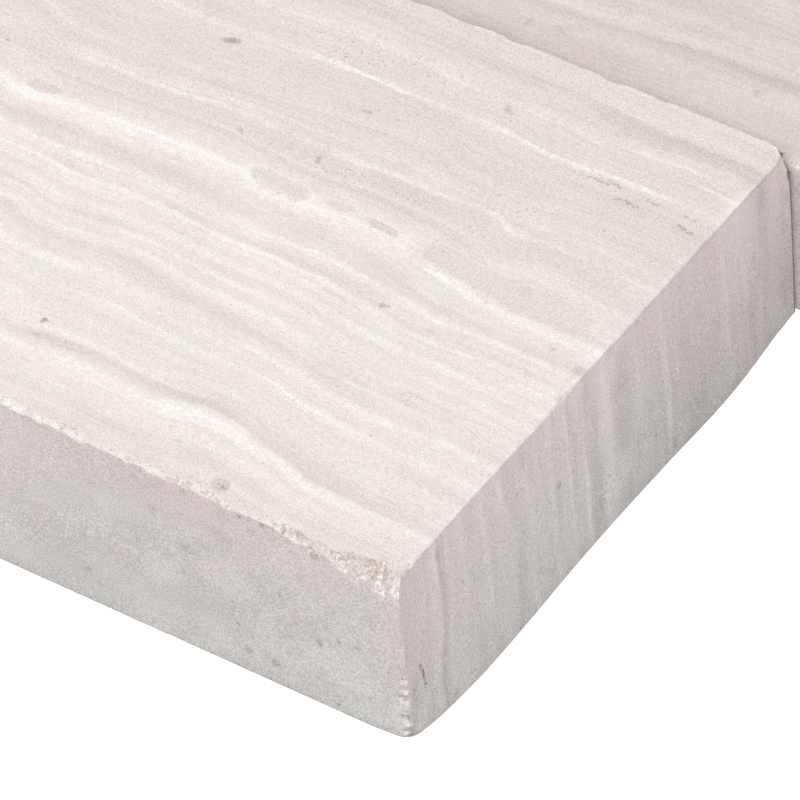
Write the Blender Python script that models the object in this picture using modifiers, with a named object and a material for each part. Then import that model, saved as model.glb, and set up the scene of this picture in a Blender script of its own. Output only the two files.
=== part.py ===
"""Ledger panel corner: an L of sawn and honed stone strips in interlocking rows.

Metres, +Z up. The unit stands on the edge of its bottom row. The long leg runs along X with its
wall side facing +Y, and the short leg turns back along +Y with its wall side facing -X.
Top and bottom rows end level with the legs. The middle row sticks out past the long leg's free end
and stops short of the short leg's free end, so that the next unit's tongue seats there.
At the corner the rows lap each other like fingers: the long leg's strip runs through in the top and
bottom rows, and the short leg's strip runs through in the middle row.
"""

import math
import random

import bmesh
import bpy
from mathutils import Matrix, Vector

# Overall sizes
LONG_LEG = 0.3048
SHORT_LEG = 0.1524
ROW_HEIGHT = 0.0506
JOINT = 0.0003
TONGUE = 0.0381
LEG_THICKNESS = 0.0160

# Thickness of each strip, measured out from the wall side
TOP_OUTER_THICKNESS = 0.0164
TOP_INNER_THICKNESS = 0.0144
TOP_RETURN_THICKNESS = 0.0178
MIDDLE_OUTER_THICKNESS = 0.0150
MIDDLE_INNER_THICKNESS = 0.0176
MIDDLE_RETURN_THICKNESS = 0.0152
BOTTOM_OUTER_THICKNESS = 0.0174
BOTTOM_INNER_THICKNESS = 0.0156
BOTTOM_RETURN_THICKNESS = 0.0164

# Butt joint between a row's two strips on the long leg, measured from the wall corner
TOP_BUTT = 0.1180
MIDDLE_BUTT = 0.1840
BOTTOM_BUTT = 0.0860

# Edges and ends
ARRIS = 0.0005
ARRIS_SEGMENTS = 2
SHARP_ANGLE = math.radians(30)
END_BOW = 0.0007
BOW_POWER = 4
BOW_SEGMENTS = 12

# Broken corners of the top outer strip's free end: how far each reaches along the length, the
# thickness and the row's height
WORN_TIP = (0.0090, 0.0022, 0.0008)
WORN_FOOT = (0.0012, 0.0011, 0.0010)
WORN_HEEL = (0.0016, 0.0046, 0.0012)
CORNER_CUTTER = 0.0300

# Flakes broken out of the top outer strip's upper front arris: distance from the free end,
# length along the arris, depth
TIP_FLAKES = (
    (0.0117, 0.0030, 0.00045),
    (0.0158, 0.0016, 0.00030),
    (0.0196, 0.0034, 0.00055),
    (0.0242, 0.0020, 0.00035),
    (0.0283, 0.0026, 0.00060),
    (0.0331, 0.0032, 0.00045),
    (0.0388, 0.0022, 0.00035),
    (0.0447, 0.0030, 0.00050),
    (0.0521, 0.0018, 0.00040),
    (0.0604, 0.0036, 0.00055),
)

# Flakes on the other front arrises are scattered with these limits
FLAKE_SPACING = 0.0500
FLAKE_LENGTH = (0.0014, 0.0036)
FLAKE_DEPTH = (0.00025, 0.00050)
FLAKE_ROUNDNESS = 3.0
FLAKE_SEED = 11

ROW_NAMES = ("bottom", "middle", "top")
STONE_COLOUR = {
    "top": (0.84, 0.79, 0.745),
    "middle": (0.71, 0.645, 0.60),
    "bottom": (0.78, 0.73, 0.69),
}
STONE_ROUGHNESS = 0.55

OUTER_THICKNESS = {
    "bottom": BOTTOM_OUTER_THICKNESS,
    "middle": MIDDLE_OUTER_THICKNESS,
    "top": TOP_OUTER_THICKNESS,
}
INNER_THICKNESS = {
    "bottom": BOTTOM_INNER_THICKNESS,
    "middle": MIDDLE_INNER_THICKNESS,
    "top": TOP_INNER_THICKNESS,
}
RETURN_THICKNESS = {
    "bottom": BOTTOM_RETURN_THICKNESS,
    "middle": MIDDLE_RETURN_THICKNESS,
    "top": TOP_RETURN_THICKNESS,
}
BUTT = {"bottom": BOTTOM_BUTT, "middle": MIDDLE_BUTT, "top": TOP_BUTT}


def clear_scene():
    for obj in list(bpy.data.objects):
        bpy.data.objects.remove(obj, do_unlink=True)


def collection(name):
    made = bpy.data.collections.new(name)
    bpy.context.scene.collection.children.link(made)
    return made


def stone_material(name, colour):
    material = bpy.data.materials.new(name)
    material.use_nodes = True
    shader = material.node_tree.nodes["Principled BSDF"]
    shader.inputs["Base Color"].default_value = (*colour, 1.0)
    shader.inputs["Roughness"].default_value = STONE_ROUGHNESS
    shader.inputs["Metallic"].default_value = 0.0
    material.diffuse_color = (*colour, 1.0)
    return material


def frame_origin():
    """The middle of the unit's footprint, measured from the wall corner."""
    x_low = -(LONG_LEG - LEG_THICKNESS) - TONGUE
    x_high = max(RETURN_THICKNESS.values())
    y_low = -max(*OUTER_THICKNESS.values(), *INNER_THICKNESS.values())
    y_high = SHORT_LEG - LEG_THICKNESS
    return Vector(((x_low + x_high) / 2, (y_low + y_high) / 2, 0.0))


def row_heights(row):
    z_low = ROW_NAMES.index(row) * (ROW_HEIGHT + JOINT)
    return z_low, z_low + ROW_HEIGHT


def strip_boxes():
    """Each strip's lowest and highest corner, measured from the wall corner."""
    boxes = {}
    for row in ROW_NAMES:
        z_low, z_high = row_heights(row)
        inset = row == "middle"
        free_x = -(LONG_LEG - LEG_THICKNESS) - (TONGUE if inset else 0.0)
        free_y = SHORT_LEG - LEG_THICKNESS - (TONGUE if inset else 0.0)
        butt_x = -BUTT[row]
        corner_x = -JOINT if inset else RETURN_THICKNESS[row]
        return_y = -INNER_THICKNESS[row] if inset else JOINT
        boxes[f"long_leg_{row}_outer_strip"] = (
            Vector((free_x, -OUTER_THICKNESS[row], z_low)),
            Vector((butt_x - JOINT / 2, 0.0, z_high)),
        )
        boxes[f"long_leg_{row}_inner_strip"] = (
            Vector((butt_x + JOINT / 2, -INNER_THICKNESS[row], z_low)),
            Vector((corner_x, 0.0, z_high)),
        )
        boxes[f"short_leg_{row}_strip"] = (
            Vector((0.0, return_y, z_low)),
            Vector((RETURN_THICKNESS[row], free_y, z_high)),
        )
    return boxes


def sawn_block(name, low, high, parts):
    """A strip with its origin at its middle, sawn square, with eased arrises."""
    mesh = bpy.data.meshes.new(name)
    shape = bmesh.new()
    bmesh.ops.create_cube(shape, size=1.0, matrix=Matrix.Diagonal((*(high - low), 1.0)))
    shape.to_mesh(mesh)
    shape.free()
    block = bpy.data.objects.new(name, mesh)
    block.location = (low + high) / 2
    parts.objects.link(block)
    return block


def bow_free_end(block, low, high):
    """Curves the sawn end outward along its wall-side edge, as a wandering saw leaves it."""
    half = (high - low) / 2
    shape = bmesh.new()
    shape.from_mesh(block.data)
    uprights = [
        edge
        for edge in shape.edges
        if abs(edge.verts[0].co.z - edge.verts[1].co.z) > half.z
    ]
    bmesh.ops.subdivide_edges(shape, edges=uprights, cuts=BOW_SEGMENTS - 1, use_grid_fill=True)
    for vert in shape.verts:
        if vert.co.x < 0 and vert.co.y > 0:
            vert.co.x -= END_BOW * (1.0 - abs(vert.co.z / half.z) ** BOW_POWER)
    shape.to_mesh(block.data)
    shape.free()


def ease_arrises(block):
    bevel = block.modifiers.new("eased arrises", "BEVEL")
    bevel.width = ARRIS
    bevel.segments = ARRIS_SEGMENTS
    bevel.limit_method = "ANGLE"
    bevel.angle_limit = SHARP_ANGLE


def add_flake(shape, place, along, outward, length, depth):
    """Adds an ellipsoid that dips into an arris by its depth."""
    radius = depth * FLAKE_ROUNDNESS
    across = along.cross(outward)
    turn = Matrix((along, across, outward)).transposed().to_4x4()
    stretch = Matrix.Diagonal((length / 2, radius, radius, 1.0))
    centre = Matrix.Translation(place + outward * (radius - depth))
    bmesh.ops.create_icosphere(
        shape, subdivisions=2, radius=1.0, matrix=centre @ turn @ stretch
    )


def add_corner_break(shape, corner, reach):
    """Adds a block whose lower face passes through three points, one on each edge of a corner."""
    points = [corner + Vector(step) for step in ((reach.x, 0, 0), (0, reach.y, 0), (0, 0, reach.z))]
    normal = (points[1] - points[0]).cross(points[2] - points[0]).normalized()
    if normal.dot(corner - points[0]) < 0:
        normal.negate()
    turn = normal.to_track_quat("Z", "Y").to_matrix().to_4x4()
    middle = (points[0] + points[1] + points[2]) / 3
    centre = Matrix.Translation(middle + normal * CORNER_CUTTER / 2)
    bmesh.ops.create_cube(shape, size=CORNER_CUTTER, matrix=centre @ turn)


def cut_with(block, shape, cutters):
    mesh = bpy.data.meshes.new(block.name + "_breaks")
    bmesh.ops.recalc_face_normals(shape, faces=shape.faces)
    shape.to_mesh(mesh)
    shape.free()
    cutter = bpy.data.objects.new(mesh.name, mesh)
    cutter.hide_render = True
    cutter.display_type = "WIRE"
    cutter.location = block.location
    cutters.objects.link(cutter)
    boolean = block.modifiers.new("breaks", "BOOLEAN")
    boolean.operation = "DIFFERENCE"
    boolean.use_self = True
    boolean.object = cutter


def scattered_flakes(shape, half, along_y, seed):
    """Scatters a few flakes along the two long arrises of the exposed face."""
    scatter = random.Random(seed)
    along = Vector((0, 1, 0)) if along_y else Vector((1, 0, 0))
    face = Vector((1, 0, 0)) if along_y else Vector((0, -1, 0))
    reach = half.y if along_y else half.x
    depth_of_face = half.x if along_y else half.y
    for up in (Vector((0, 0, 1)), Vector((0, 0, -1))):
        count = max(1, round(2 * reach / FLAKE_SPACING))
        for index in range(count):
            slot = (index + scatter.uniform(0.25, 0.75)) / count
            distance = (2 * slot - 1) * reach
            place = along * distance + face * depth_of_face + up * half.z
            outward = (face + up).normalized()
            length = scatter.uniform(*FLAKE_LENGTH)
            add_flake(shape, place, along, outward, length, scatter.uniform(*FLAKE_DEPTH))


def worn_end_breaks(shape, half):
    """The broken corners and the frayed upper arris at the top outer strip's free end."""
    tip = Vector((-half.x, -half.y, half.z))
    foot = Vector((-half.x, half.y, half.z))
    heel = Vector((-half.x, -half.y, -half.z))
    add_corner_break(shape, tip, Vector((WORN_TIP[0], WORN_TIP[1], -WORN_TIP[2])))
    add_corner_break(shape, foot, Vector((WORN_FOOT[0], -WORN_FOOT[1], -WORN_FOOT[2])))
    add_corner_break(shape, heel, Vector((WORN_HEEL[0], WORN_HEEL[1], WORN_HEEL[2])))
    outward = Vector((0, -1, 1)).normalized()
    for distance, length, depth in TIP_FLAKES:
        place = tip + Vector((distance, 0, 0))
        add_flake(shape, place, Vector((1, 0, 0)), outward, length, depth)


def build():
    clear_scene()
    parts = collection("ledger_panel_corner")
    cutters = collection("ledger_panel_corner_cutters")
    origin = frame_origin()
    for seed, (name, (low, high)) in enumerate(strip_boxes().items(), FLAKE_SEED):
        block = sawn_block(name, low - origin, high - origin, parts)
        half = (high - low) / 2
        worn = name == "long_leg_top_outer_strip"
        if worn:
            bow_free_end(block, low, high)
        ease_arrises(block)
        breaks = bmesh.new()
        if worn:
            worn_end_breaks(breaks, half)
        else:
            scattered_flakes(breaks, half, name.startswith("short_leg"), seed)
        cut_with(block, breaks, cutters)
        row = next(row for row in ROW_NAMES if row in name)
        block.data.materials.append(stone_material(name + "_stone", STONE_COLOUR[row]))


build()
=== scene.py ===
"""The looks of the ledger panel corner: broken arrises, bedded marble, light and camera."""

import math
import random

import bpy
import numpy as np
from mathutils import Matrix, Vector, noise


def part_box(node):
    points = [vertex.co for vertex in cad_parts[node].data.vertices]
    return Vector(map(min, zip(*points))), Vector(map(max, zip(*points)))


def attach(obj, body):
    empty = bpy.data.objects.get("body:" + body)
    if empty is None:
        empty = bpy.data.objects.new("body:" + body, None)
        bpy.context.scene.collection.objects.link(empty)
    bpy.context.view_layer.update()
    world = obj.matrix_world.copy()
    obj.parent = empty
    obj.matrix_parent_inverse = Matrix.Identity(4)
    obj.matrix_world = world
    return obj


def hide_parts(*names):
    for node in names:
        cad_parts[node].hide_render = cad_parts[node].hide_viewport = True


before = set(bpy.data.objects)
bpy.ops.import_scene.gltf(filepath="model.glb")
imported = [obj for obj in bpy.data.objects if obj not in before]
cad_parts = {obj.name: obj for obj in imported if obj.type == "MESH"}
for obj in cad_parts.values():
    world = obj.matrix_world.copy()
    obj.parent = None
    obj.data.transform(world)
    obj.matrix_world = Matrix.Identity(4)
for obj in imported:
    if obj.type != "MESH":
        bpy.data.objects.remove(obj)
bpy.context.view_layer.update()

# Lengths are in millimetres, and in metres where it says so. Each strip is built in its own axes:
# x along the strip, from minus its length to 0 at its end, y across its face from its upper side,
# z out of its face.
MM = 0.001
TOP_STRIP = "long_leg_top_outer_strip"
SECOND_STRIP = "long_leg_middle_outer_strip"
LONG_LEG_AXES = Matrix(((-1, 0, 0), (0, 0, -1), (0, -1, 0)))
SHORT_LEG_AXES = Matrix(((0, 0, 1), (-1, 0, 0), (0, -1, 0)))
X, Y, Z = range(3)
LOW, HIGH = 0, 1
# The sides of a strip. Two of them together name the edge that they join.
FACE = (Z, HIGH)
BACK = (Z, LOW)
UPPER = (Y, LOW)
LOWER = (Y, HIGH)
END = (X, HIGH)
FAR = (X, LOW)

# The solid of the top strip reaches this far past the strip's own zero, for the bow of its end
END_BOW = 0.7
# How far the sawn end bows out along its back edge, at places across it. The line is softened by
# this much each way, and the bow dies out over its reach along the strip.
END_BOW_LINE = (
    (0, 0), (2.5, 0.24), (5, 0.46), (8, 0.61), (11, 0.61), (15, 0.53), (19, 0.39), (22.5, 0.31),
    (27, 0.31), (32, 0.36), (36, 0.47), (39.5, 0.56), (42, 0.51), (45, 0.27), (47.5, 0.03), (50, -0.1),
    (51, -0.1),
)
END_BOW_SOFTNESS = 1.0
END_BOW_STEPS = 5
END_BOW_REACH = 4.0
# How far the top strip's upper side leans in at its face, at places along it. The lean dies out
# over its reach across the strip.
SIDE_LEAN = (
    (-400, 0.1), (-60, 0.5), (-34.5, 0.52), (-31, 0.36), (-27, 0.28), (-24, 0.3), (-21.5, 0.24),
    (-19.5, 0.22), (-16, 0.26), (-14.8, 0.02), (0, 0),
)
SIDE_LEAN_REACH = 6.0
# How far the top strip's lower side reaches into the joint, at its face and at its back. This dies
# out over its reach across the strip.
JOINT_FILL = (0.12, 0.24)
JOINT_REACH = 8.0

# Camera, in the top strip's axes, with its near and far limits in metres
CAMERA_PLACE = Vector((243.804, -312.957, 401.63))
CAMERA_RIGHT = Vector((0.82577647, 0.56035521, -0.06399421))
CAMERA_DOWN = Vector((0.35357695, -0.60274585, -0.71531865))
CAMERA_LENS = 369.0
CAMERA_SENSOR = 36.0
CAMERA_LIMITS = (0.01, 20.0)

# Light, and a floor that reaches this many metres each way
SKY_STRENGTH = 0.34
KEY_STRENGTH = 2.11
KEY_ANGLE = 50.0
KEY_AIM = Vector((0.195, 0.807, -0.558))
WHITE = (1, 1, 1, 1)
FLOOR_COLOUR = (0.8, 0.8, 0.8, 1.0)
FLOOR_GLOW = 0.78
FLOOR_REACH = 3.0

# How the beds of the top strip rise and fall along it. Each guide is a bed: its place across the
# end face, then how much further across it lies at places along the strip.
GUIDES = (
    (0.0, ((-60, 0.8), (-30, 0.7), (-16, 0.7), (-8, 0.1), (0, 0))),
    (5.1, ((-60, 2.7), (-39.5, 2.7), (-38.2, 2.1), (-35, 2.4), (-30.5, 2.5), (-26, 2.2), (-23, 2.4),
           (-20, 2.8), (-16.4, 2.1), (-13.4, 1.5), (-11, 0.6), (-7.4, 0.3), (0, 0))),
    (14.6, ((-60, 2.8), (-46, 2.8), (-43.4, 1.9), (-35, 2.5), (-29, 1.9), (-22.4, 1.6),
            (-18.5, 1.0), (-15, 0.4), (-7.4, 0.4), (0, 0))),
    (23.0, ((-60, 1.6), (-50, 1.6), (-44, 1.3), (-38, 1.6), (-32, 1.3), (-22, 1.2), (-16.4, 0.7),
            (-12.2, 0.1), (-8, 0.3), (0, 0))),
    (26.1, ((-60, 2.7), (-55, 2.7), (-52.4, 1.9), (-47.6, 2.3), (-41.6, 2.6), (-33, 2.7),
            (-27, 2.0), (-22.7, 2.3), (-17, 1.5), (-14, 0.9), (-10, 0.3), (-5.6, 0), (0, 0))),
    (33.4, ((-60, -0.1), (-49, -0.1), (-42.8, 0.2), (-36.8, 0.7), (-32.6, 0.4), (-26, 0.5),
            (-23.6, 0.8), (-19.7, 0.7), (-15.2, 0.9), (-12.2, 0), (-8, 0.5), (0, 0))),
    (36.0, ((-60, -0.1), (-57, -0.1), (-53.6, -1.0), (-50.6, -1.3), (-44.6, -0.7), (-36, 0.2),
            (-30, 0.9), (-22, 1.3), (-19.7, 0.5), (-15, 0.2), (-8.6, 0.5), (0, 0))),
    (41.3, ((-60, 0.1), (-44, 0), (-38.6, 0.4), (-26, 0.7), (-19, 0.5), (-14, 0.1), (-7, 0.4),
            (0, 0))),
    (47.0, ((-60, 1.6), (-29.6, 1.6), (-22, 1.0), (-16, 0.9), (-10, 0.1), (-4, 0.3), (0, 0))),
    (50.8, ((-60, 0), (0, 0))),
)
# What the guides cover along the strip, and the range of what they add
GUIDE_SPAN = (-60.0, 0.0)
GUIDE_RANGE = (-2.0, 4.0)

# Beds: place across the end face, half width, tone. A tone is in steps of brightness as the eye
# sees them, 0 for the strip's own ground.
TOP_BEDS = (
    (0.4, 0.7, -6), (1.5, 0.5, -5), (2.7, 0.4, 2), (3.95, 0.52, 7.5), (5.05, 0.5, -13), (5.8, 0.3, 3),
    (7.5, 0.6, 2.5), (9, 0.5, -2.5), (10, 0.3, 4.5), (10.9, 0.4, -3), (12.1, 0.8, 3), (13.9, 1, -7),
    (15.6, 0.35, 4), (16.5, 0.4, -3), (17.1, 0.22, 3.5), (17.9, 0.35, -3.5), (18.7, 0.4, 4.5),
    (19.4, 0.25, -3.5), (20.1, 0.3, 3.5), (20.8, 0.3, 5), (21.5, 0.5, -7), (22.85, 0.35, 8),
    (24, 0.8, -7), (25.8, 0.75, 8), (26.8, 0.5, -2), (33.35, 0.4, 8), (34.6, 0.35, 3), (35.9, 0.35, -4),
    (36.8, 0.3, 2.5), (37.7, 0.45, -4), (39.6, 1.1, -3), (41.4, 0.32, 11), (42.4, 0.3, -2),
    (43.4, 0.5, -1), (44.4, 0.55, 5), (45.5, 0.4, -2), (46.9, 0.85, -12), (49.2, 0.8, -1),
    (50.5, 0.35, 6),
)
SECOND_BEDS = (
    (3.2, 0.8, -3), (5.4, 0.6, 4), (6.5, 0.55, -11), (7.7, 0.7, 7), (9.3, 0.5, 2), (11.2, 1.4, -4),
    (14.2, 0.7, 5), (17.5, 1, -5), (21.5, 0.6, 7), (24, 1.3, -4), (29, 0.8, 6), (32, 0.5, -7),
    (37.5, 1.2, 5), (41, 0.7, -5), (46, 1, 4),
)

# Long lenses and patches: place along, place in the beds, half the straight part, radius along,
# radius across, tone of the middle, tone of the rim
TOP_LENSES = (
    (-36.5, 31.8, 21, 1.5, 1, -7, 0), (-7.2, 32.3, 3.4, 1.5, 0.95, -7, 0),
    (-33, 29.9, 17, 2, 0.4, -10, 0), (-43.8, 26.3, 8.6, 2.6, 0.72, 12, 0),
    (-22.6, 27.1, 3.4, 1.5, 0.95, 6, 0), (-9, 25.75, 5, 1.8, 0.28, 7, 0),
    (-51, 27.4, 0, 1.45, 0.72, -12, 3), (-30, 26.9, 1.2, 1.4, 1.05, -7, 5),
    (-24.8, 27.4, 0.3, 1.1, 0.5, -9, 0), (-20.9, 27.1, 0.4, 1, 0.52, -15, 0),
    (-9.6, 27.7, 6.1, 1.3, 1.15, -7, 0), (-18.6, 21.8, 1.6, 1.1, 0.6, -4, 0),
    (-39.2, 12, 0.6, 1.9, 0.36, 8, 0), (-45.2, 12.4, 0.2, 1.7, 0.6, 5, 0),
    (-34.4, 11.9, 0.8, 1.6, 0.25, 5, 0), (-19.4, 12.2, 2.6, 1.5, 0.35, 6, 0),
    (-11, 12.1, 1.2, 1.3, 0.4, 6, 0), (-2.6, 12.6, 1.8, 1.2, 0.3, 6, 0),
    (-30.5, 10.2, 2.2, 1.2, 0.22, 5, 0), (-13, 10, 8, 1.2, 0.2, 4, 0),
    (-19.2, 20.2, 1.2, 0.7, 0.16, -9, 0), (-44, 17.6, 6, 2, 0.22, -7, 0), (-32, 20.9, 6, 2, 0.35, 4, 0),
    (-6, 46.8, 5.5, 4, 0.9, -14, 0), (-6, 5.3, 6, 3, 0.4, -5, 0), (-5, 21.5, 4, 3, 0.45, 2, 0),
    (-15.6, 27.45, 0.2, 1.1, 0.95, -6, 0), (-15.5, 38.2, 1.6, 2, 1.1, -4, 0),
    (-25, 37.2, 12, 3, 0.28, -4, 0), (-42.2, 35, 0, 0.4, 4.5, 3, 0), (-6.6, 44.8, 2, 1.2, 0.24, 9, 0),
    (-1.2, 43.7, 1, 1.2, 0.24, 9, 0), (-15.9, 0.62, 0, 0.66, 0.4, -17, -14),
)
# Soft shades, with the same numbers up to the tone of the middle
TOP_SHADES = (
    (-22.5, 5.9, 1, 2, 0.6, -3), (-12, 5.8, 7, 3, 0.6, -6), (-20.5, 4.3, 2.5, 2, 0.5, 4),
    (-30, 4.5, 4, 2, 0.8, -2), (-40, 12.7, 1, 2, 0.6, -4), (-12, 14.9, 5, 2, 0.6, -4),
    (-24, 17.5, 4, 2, 0.6, 3), (-47, 20.8, 4, 2.5, 1.2, 4), (-27, 25.2, 1.5, 1.5, 0.5, -6),
    (-45, 25, 2.5, 2, 0.5, 3), (-21.5, 29.5, 1.5, 2, 0.9, -6), (-21.5, 32, 1.5, 2, 0.8, -4),
    (-2.5, 31, 1, 2, 0.8, -4), (-17.5, 37.6, 3.5, 2, 1.3, -4.5), (-12, 41.2, 2.5, 2, 0.5, -5),
    (-27, 41.6, 2, 2, 0.5, 3), (-2, 49.3, 2, 1.5, 0.6, -3), (-39, 49.2, 1, 2, 0.6, 4),
    (-2.5, 23.2, 1.5, 2, 0.7, -4.5), (-10, 12.8, 3, 2, 0.6, -3),
)
# Small spots on the face: place along, place in the beds, radius along, radius across, tone
TOP_SPOTS = (
    (-42, 40, 0.72, 0.36, -36), (-41.6, 40.2, 0.5, 0.22, -12), (-35.8, 31.1, 0.26, 0.3, -26),
    (-35.5, 30.8, 0.34, 0.18, -18), (-29.1, 32.1, 0.17, 0.34, -24), (-28.9, 31.6, 0.17, 0.34, -24),
    (-56.5, 31, 0.28, 0.25, -22), (-28.7, 37.8, 0.5, 0.22, -13), (-36.4, 6.4, 0.26, 0.26, -50),
    (-36.1, 5, 0.45, 0.1, -22), (-16.3, 21.6, 0.3, 0.24, -32), (-15.9, 21.8, 0.2, 0.2, -26),
    (-11.9, 21.7, 0.35, 0.14, -20), (-15.7, 28.1, 0.13, 0.13, -20), (-19.8, 43.2, 0.6, 0.3, -22),
    (-20.2, 43.5, 0.3, 0.2, -16), (-25.7, 43.4, 0.22, 0.2, -14), (-11.7, 45.6, 0.2, 0.2, -12),
    (-16.3, 9.9, 0.13, 0.13, -30), (-9.6, 10.5, 0.15, 0.13, -34), (-28.1, 10.4, 0.12, 0.12, -24),
    (-13.7, 5.9, 0.12, 0.12, -20), (-3.3, 24.6, 0.24, 0.2, -20), (-3.8, 25.6, 0.18, 0.12, -14),
    (-0.3, 20.7, 0.22, 0.5, -16), (-2.1, 13.4, 0.14, 0.12, -20), (-15.5, 0.5, 0.22, 0.12, -24),
    (-28.9, 0.12, 0.22, 0.07, -34), (-21.1, 2.2, 0.5, 0.12, -16), (-24, 1.6, 0.3, 0.1, -12),
    (-8.4, 0.4, 0.45, 0.22, -14), (-28, 0.16, 0.26, 0.07, -44), (-33.4, 0, 0.2, 0.16, -20),
)
# Where dark flecks crowd: place along, place in the beds, radius along, radius across, crowding
TOP_FLECKS = (
    (-9.6, 40.75, 1.9, 0.4, 1.5), (-5.6, 40.7, 1.2, 0.32, 1.3), (-7.2, 39.6, 1.5, 0.26, 1.3),
    (-2.4, 40.6, 0.9, 0.3, 1.4), (-1.9, 39.6, 1.1, 0.28, 1.5), (-27.5, 38, 3, 0.5, 0.6),
    (-30, 43.5, 14, 2.2, 0.35), (-22, 39.5, 10, 1.5, 0.3), (-27, 31.4, 14, 1.2, 0.3),
    (-15.8, 0.7, 0.6, 0.4, 1), (-18, 21.9, 3.5, 0.55, 0.4), (-24, 31.6, 9, 0.9, 0.25),
    (-20, 48.2, 6, 0.6, 0.3), (-12.5, 0.3, 6, 0.4, 0.35), (-14.6, 13.6, 4, 0.5, 0.35),
    (-36, 24.2, 16, 0.7, 0.2), (-10, 35.5, 9, 1.5, 0.25), (-1, 12, 1.2, 1.5, 0.5),
)
# Spots on the upper side, some of them painted shade under its chipped upper edge: place along, depth,
# radius along, radius in depth, tone
TOP_SIDE_SPOTS_AND_SHADES = (
    (-7, 1.2, 0.36, 0.45, -38), (-7.3, 10, 0.3, 0.42, -36), (-5.6, 9, 0.22, 0.4, -30),
    (-4, 8.8, 0.55, 0.2, -24), (-13.8, 14.1, 0.42, 0.5, -30), (-11.4, 14.2, 0.45, 0.4, -34),
    (-21.2, 4, 0.45, 0.8, -12), (-18.4, 6.4, 0.9, 0.6, -12), (-17.2, 5.4, 0.9, 0.4, -10),
    (-15.5, 3.6, 1.6, 0.7, -7), (-10.4, 6.8, 0.16, 0.7, -24), (-10, 10.8, 0.6, 0.26, -18),
    (-14.4, 11.8, 0.24, 0.2, -30), (-28.8, 4.8, 0.3, 0.2, -22), (-27.8, 9.8, 0.22, 0.3, -18),
    (-27.7, 13.2, 0.35, 0.28, -24), (-26.8, 14.2, 0.28, 0.24, -22), (-6.1, 15.6, 0.2, 0.18, -34),
    (-13.3, 0.5, 0.13, 0.16, -70), (-12.5, 0.5, 0.2, 0.2, -30), (-11.4, 0.4, 0.22, 0.24, -40),
    (-9.6, 0.3, 0.18, 0.2, -60), (-10.5, 0.3, 0.5, 0.16, -26), (-32.5, 0.5, 1.6, 0.4, -22),
    (-30.6, 0.5, 0.8, 0.3, -20), (-7.8, 0.7, 0.5, 0.35, -16), (-6.6, 0.9, 0.7, 0.4, -10),
    (-5.6, 0.8, 0.5, 0.3, -8), (-0.5, 1.2, 0.6, 0.8, 18), (-10, 3.4, 1.5, 1.6, 5),
    (-21, 9.3, 1.8, 1.6, 8), (-25.5, 5.6, 1.2, 1.2, 7), (-14.6, 8, 2.2, 1.8, 7),
    (-30, 13.6, 1.6, 0.9, 5), (-8, 7, 1.5, 1.5, 4), (-20, 7, 0.6, 0.6, 6), (-4, 14, 2, 0.9, -5),
    (-19, 14.5, 3, 1.2, -6), (-28.5, 5.5, 4, 3, -7), (-3, 7.5, 3, 2.6, 6), (-18.5, 10.5, 2, 4, -6),
    (-17, 15.4, 4, 1.2, -6),
)
# Spots on the sawn end, some of them painted shade along the step of a flake and beside it at its edge
# with the upper side: place across, depth, radius across, radius in depth, tone
TOP_END_SPOTS_AND_SHADES = (
    (28, 6.5, 1.45, 4.4, -13), (28.3, 2.4, 0.8, 1.4, -10), (27, 1.8, 0.4, 1.2, 14),
    (25.7, 6, 1, 6.5, 13), (26.4, 12.5, 2.2, 2.2, 9), (30, 6.4, 0.4, 4.5, 6), (24.1, 14.2, 0.9, 2, -13),
    (27.8, 14.8, 0.8, 1.6, -11), (19.5, 7.4, 0.36, 0.36, -40), (21.3, 7.6, 0.16, 0.16, -22),
    (14.5, 4, 0.18, 0.18, -34), (7.2, 6.3, 0.16, 0.16, -34), (31.5, 12.6, 0.22, 0.22, -38),
    (25.6, 11.7, 0.18, 0.18, -36), (19.4, 1, 0.25, 0.5, -18), (4.95, 4.2, 0.28, 4.6, -9),
    (4.7, 1.6, 0.36, 0.5, -16), (4.2, 4.5, 0.45, 4.5, 4), (4.1, 9.5, 0.45, 3, 7),
    (3.7, 13, 0.4, 2.5, 4), (4.75, 10, 0.28, 2, -8), (10.35, 9, 0.2, 6, 10), (12.6, 2.2, 0.3, 1.1, 12),
    (13.1, 5.5, 0.14, 2.2, 10), (13.1, 11.5, 0.25, 4, 5), (15.4, 1.5, 0.6, 1.6, -10),
    (20.9, 8, 0.22, 8, 10), (18, 4, 0.14, 3.2, 7), (22.3, 2.5, 0.18, 2.2, 8), (22.9, 11, 0.3, 5, 5),
    (33.3, 8, 0.45, 7.5, 11), (34.8, 8.5, 0.18, 5, 10), (33.6, 15.2, 0.4, 0.9, -20),
    (41, 10, 0.7, 5, 5), (43.9, 6.4, 0.35, 3.6, 7), (44.6, 13, 0.6, 3.8, -13),
    (46.7, 1.6, 0.7, 1.8, -10), (48.6, 4, 0.9, 3.6, 6), (36.8, 14, 1.4, 1.8, -6),
    (45.4, 6.5, 0.3, 0.7, -14), (41.6, 15.8, 0.7, 0.8, -14), (48.9, 5.3, 0.6, 0.16, -10),
    (1.72, 10.1, 0.12, 0.5, -76), (1.92, 10.9, 0.13, 0.6, -80), (2.04, 11.9, 0.1, 0.6, -70),
    (50.6, 2.3, 0.35, 0.6, -90), (35.8, 10, 4.5, 8.5, -7), (43.4, 4, 2.4, 7, 10), (46.9, 9, 2, 6.5, 7),
    (2.25, 13.6, 0.24, 0.8, 14), (1.7, 14.6, 0.28, 0.6, 14), (1.1, 15.4, 0.3, 0.5, 12),
    (1.1, 12.4, 0.55, 1.9, -10), (5.1, 15.6, 0.4, 0.5, -22), (0.7, 14.4, 0.3, 0.9, -12),
    (4.2, 1.8, 0.5, 1.2, 6),
)
# Greyer patches on the sawn end, listed the same way, with a share of the pinker colour last
TOP_GREYS = (
    (43.4, 2, 2.4, 4, -1.3), (47.4, 10, 2.2, 6, -1.3), (48.6, 2.5, 2.4, 4.5, -1.3),
)
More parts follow.
